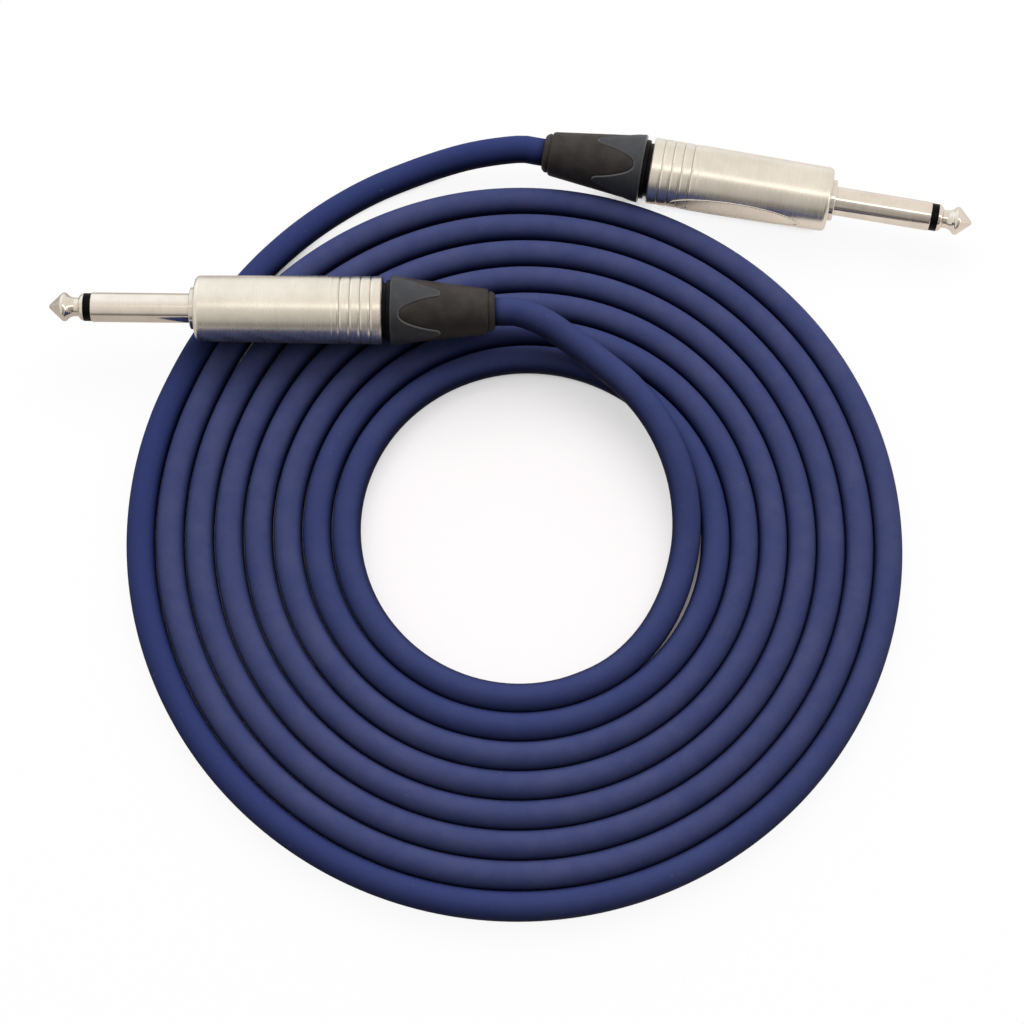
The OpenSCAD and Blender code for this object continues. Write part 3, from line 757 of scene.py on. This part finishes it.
def rings_between(first, second, steps):
    """Rings on the same cone between two others."""
    made = []
    for k in range(1, steps):
        t = k / steps
        made.append([
            (x1 + (x2 - x1) * t, a1 + (a2 - a1) * t, r1 + (r2 - r1) * t)
            for (x1, a1, r1), (x2, a2, r2) in zip(first, second)
        ])
    return made


def skin_over(name, side, rings):
    """A closed skin through rings of [x, angle, radius] round a plug's axis."""
    count = len(rings[0])
    places = [on_plug(side, x, a, r) for ring in rings for x, a, r in ring]
    faces = []
    for k in range(len(rings)):
        here, there = k * count, (k + 1) % len(rings) * count
        for j in range(count):
            n = (j + 1) % count
            faces.append((here + j, here + n, there + n, there + j))
    mesh = bpy.data.meshes.new(name)
    mesh.from_pydata(places, [], faces)
    made = bpy.data.objects.new(name, mesh)
    scene.collection.objects.link(made)
    bpy.ops.object.select_all(action="DESELECT")
    bpy.context.view_layer.objects.active = made
    made.select_set(True)
    bpy.ops.object.mode_set(mode="EDIT")
    bpy.ops.mesh.select_all(action="SELECT")
    bpy.ops.mesh.normals_make_consistent(inside=False)
    bpy.ops.object.mode_set(mode="OBJECT")
    bpy.ops.object.shade_smooth_by_angle(angle=math.radians(50))
    return made


wavy_edges = {side: wave_line(cover_rolls[side]) for side in sides}
for side, edge in wavy_edges.items():
    front = [ring_at(edge, grip_x, tube_r)] + [
        ring_at(edge, grip_x - back, grip_r(grip_x) - lower)
        for back, lower in ((0, 0.34), (0.08, 0.2), (0.18, 0.07), (0.26, 0.0))
    ] + [ring_at(edge, grip_x - 0.36)]
    rim = [
        ring_at(moved_in(edge, step), lower=lower)
        for step, lower in ((0.42, 0.0), (0.34, -0.015), (0.27, 0.0), (0.17, 0.07), (0.07, 0.17))
    ] + [ring_at(edge, lower=0.26)]
    rings = front + rings_between(front[-1], rim[0], 9) + rim + [ring_at(edge, r=tube_r)]
    cover = skin_over(side + "_cover", side, rings)
    worn = [0, 1, 1, 1, 0.5, 0] + [0] * 8 + [0, 0.5, 1, 1, 1, 1, 0]
    polish = cover.data.attributes.new("polish", "FLOAT", "POINT")
    polish.data.foreach_set("value", [share for share in worn for _ in edge])
    cover.data.materials.append(cover_slate)
    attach(cover, side + "_gland")
    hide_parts(side + "_grip_cover")

# ----------------------------------------------------------------------------
# The boot: brown-black rubber, moulded on behind the lobes. It fills the spaces
# between them and ends in a rolled rim and a short nose, which the cable leaves.
inset, neck_x, cable_hole_r = 0.2, -54.7, 3.2

boot_rubber = moulded(
    "boot_rubber", dark=(0.028, 0.024, 0.023, 1), light=(0.042, 0.037, 0.035, 1), rough=0.52,
    scale=300, level=0.15,
)
dress("boot", boot_rubber)
shoulder_r = grip_r(boot_x) - inset
nose = [
    (0.42, shoulder_r), (0.26, shoulder_r - 0.05), (0.12, shoulder_r - 0.16),
    (0.03, shoulder_r - 0.32), (0, shoulder_r - 0.46), (-0.05, shoulder_r - 0.6),
    (-0.13, shoulder_r - 0.63), (-0.22, shoulder_r - 0.55), (-0.34, 4.36), (-0.6, 4.33),
    (-0.9, 4.22), (-1.16, 4.02), (-1.34, 3.82), (-1.45, 3.62), (-1.5, 3.48),
    (-1.5, cable_hole_r),
]
for side, edge in wavy_edges.items():
    tucked = moved_in(edge, -0.01)
    tuck = [
        ring_at(tucked, r=tube_r), ring_at(tucked, lower=inset + 0.1),
        ring_at(moved_in(edge, -0.05), lower=inset + 0.03),
        ring_at(moved_in(edge, -0.12), lower=inset),
    ]
    rear = ring_at(edge, boot_x + 0.55, lower=inset)
    boot = skin_over(
        side + "_rubber_boot", side,
        tuck + rings_between(tuck[-1], rear, 12) + [rear]
        + [ring_at(edge, boot_x + x, r) for x, r in nose]
        + [ring_at(edge, neck_x, cable_hole_r), ring_at(edge, neck_x, tube_r)],
    )
    boot.data.materials.append(boot_rubber)
    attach(boot, side + "_gland")
    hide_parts(side + "_boot")
